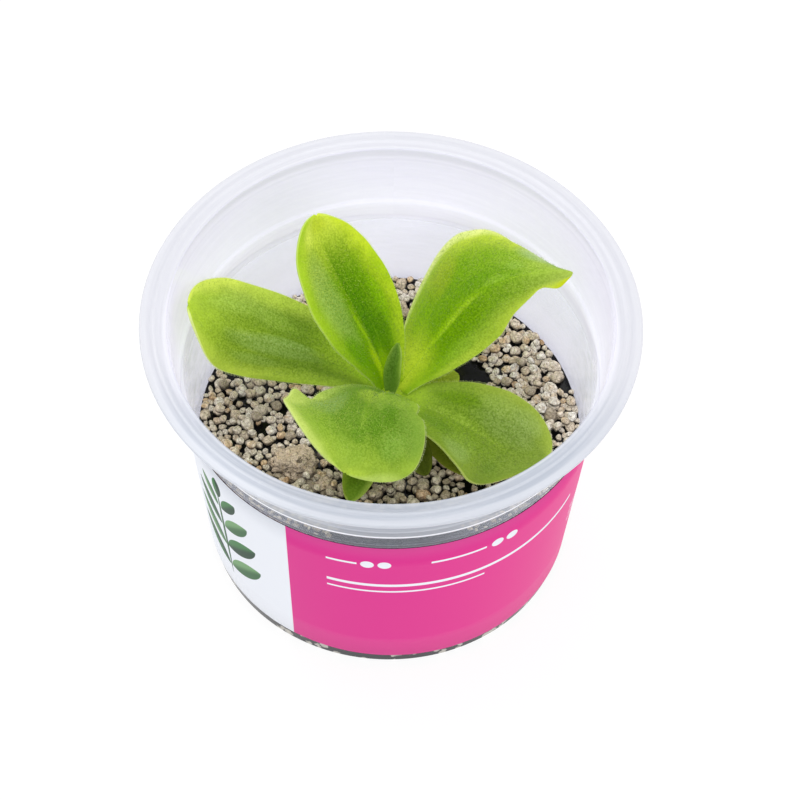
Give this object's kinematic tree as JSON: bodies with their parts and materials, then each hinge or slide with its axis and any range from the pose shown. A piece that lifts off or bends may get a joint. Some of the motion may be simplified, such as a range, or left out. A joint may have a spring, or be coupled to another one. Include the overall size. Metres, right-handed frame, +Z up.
{
  "type": "potted butterwort",
  "caption": "Rosette of broad fleshy leaves on pumice grains over black gel, in a clear flanged culture cup wrapped in a two-colour paper sleeve",
  "frame": {"origin": "centre of the cup's underside, on the surface it stands on", "axes": "+Z up along the cup's axis, -Y towards the front of the sleeve"},
  "size_m": [0.1, 0.1, 0.0723],
  "materials": {
    "cup_plastic": "clear, slightly milky",
    "sleeve_paper": "satin coated paper",
    "black_gel": "wet",
    "pumice": "rough mineral",
    "crown_tissue": "soft leaf base",
    "leaf_green": "finely glandular leaf",
    "old_leaf_green": "older shaded leaf"
  },
  "bodies": {
    "root": {"cup": "cup_plastic", "label_sleeve": "sleeve_paper", "gel": "black_gel", "grain_bed": "pumice", "crown": "crown_tissue", "leaf_left": "leaf_green", "leaf_back_left": "leaf_green", "leaf_back_right": "leaf_green", "leaf_front_right": "leaf_green", "leaf_front": "leaf_green", "leaf_young": "leaf_green", "leaf_old_front": "old_leaf_green", "leaf_old_front_right": "old_leaf_green", "leaf_old_right": "old_leaf_green", "leaf_old_back_right": "old_leaf_green"}
  },
  "joints": []
}
